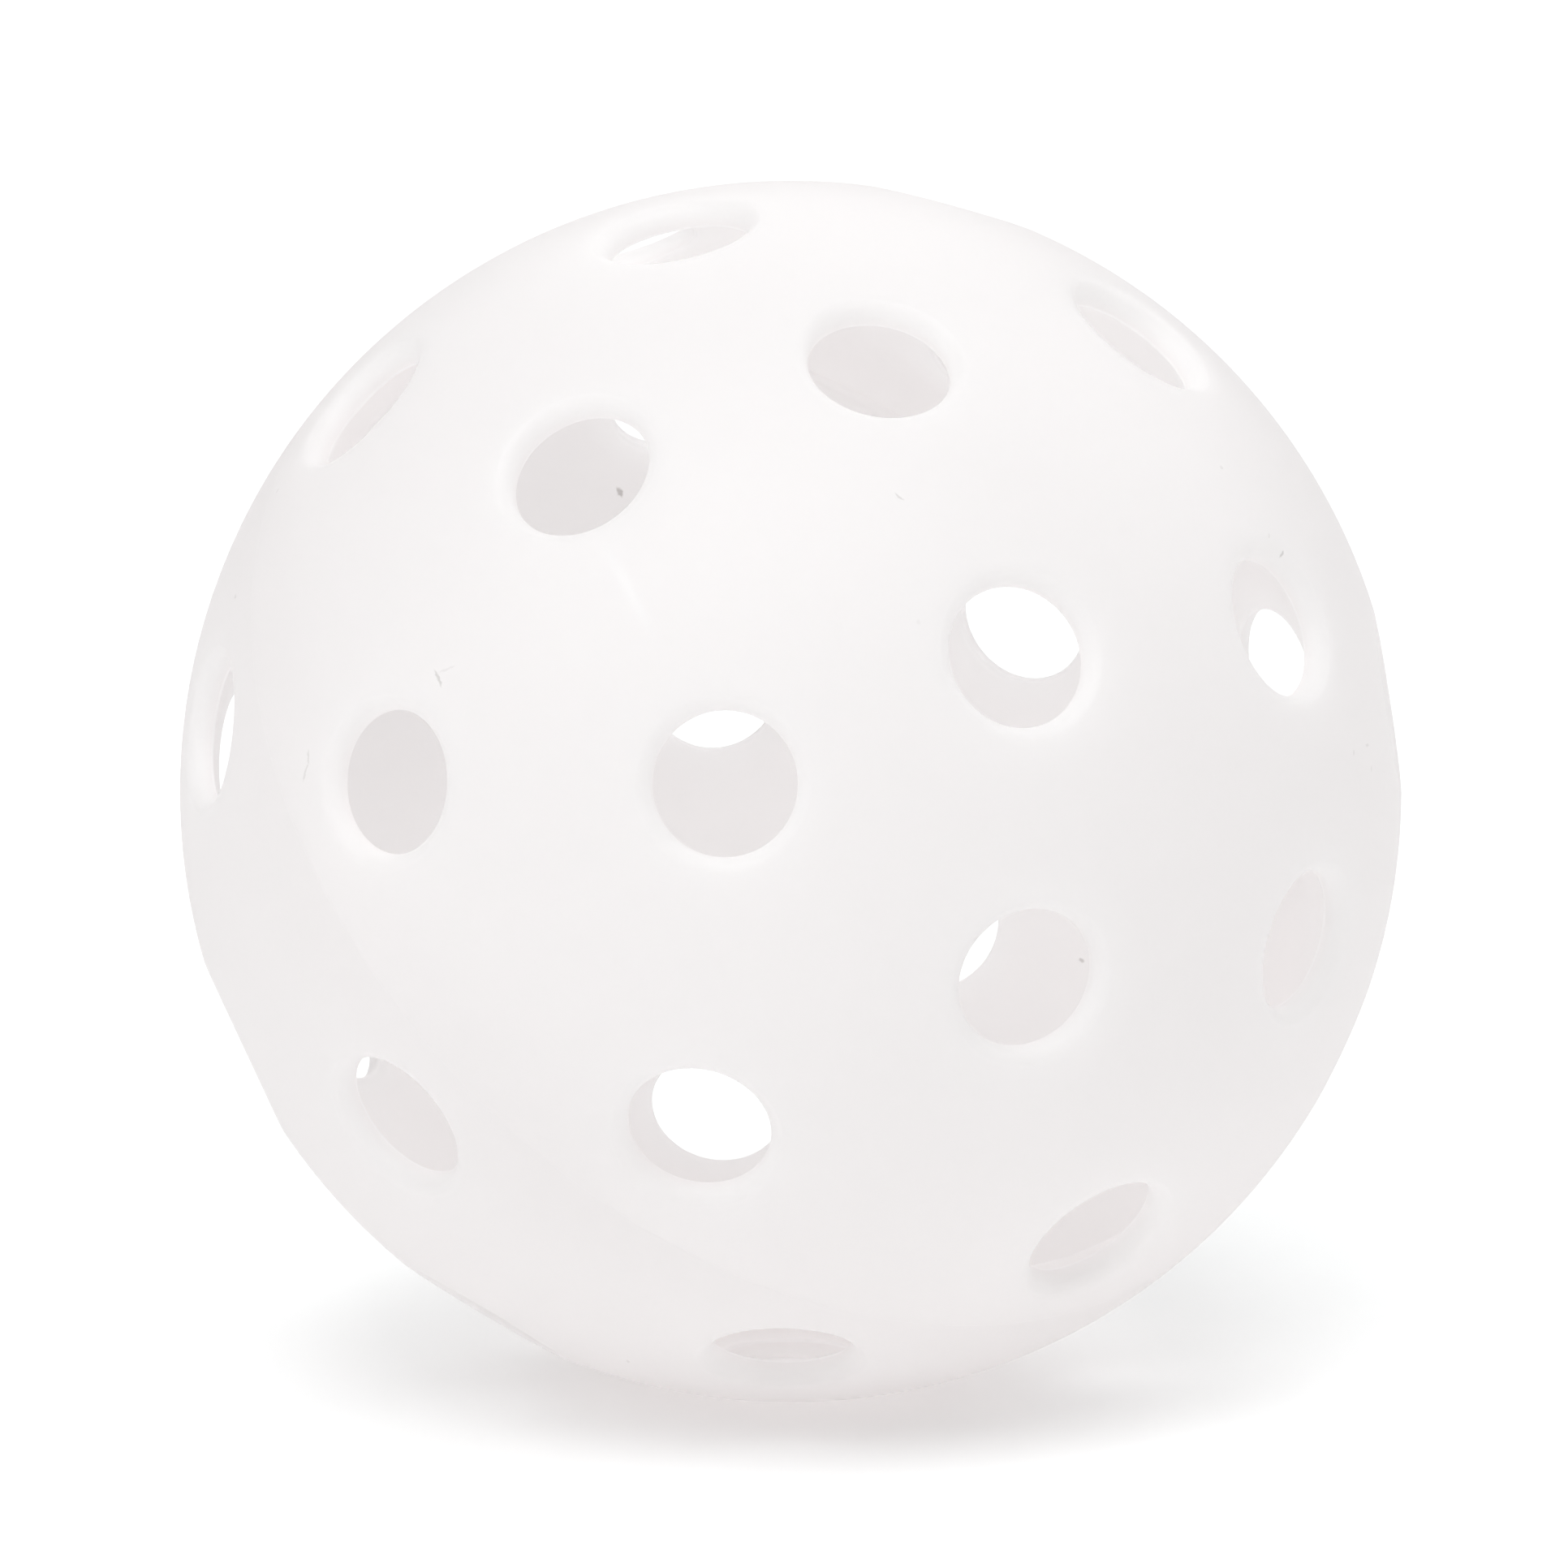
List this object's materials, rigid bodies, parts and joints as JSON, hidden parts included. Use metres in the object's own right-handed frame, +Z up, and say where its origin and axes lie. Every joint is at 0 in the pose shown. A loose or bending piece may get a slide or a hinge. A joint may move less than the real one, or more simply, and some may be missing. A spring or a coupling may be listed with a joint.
{
  "type": "pickleball",
  "caption": "Hollow rigid white plastic pickleball of the outdoor kind: two identical moulded half shells with round holes, welded together at the equator.",
  "frame": {"origin": "centre of the ball", "axes": "+Z up with the ball at rest on the rim of one hole, whose axis points along -Z; the pole of the two halves, which is square to the weld, leans 50.4 degrees from +Z, 49.3 degrees from +X towards -Y"},
  "size_m": [0.074, 0.0739, 0.0737],
  "materials": {
    "shell_plastic": "satin",
    "weld_plastic": "matte"
  },
  "bodies": {
    "root": {"upper_half_shell": "shell_plastic", "lower_half_shell": "shell_plastic", "seam_weld": "weld_plastic"}
  },
  "joints": []
}
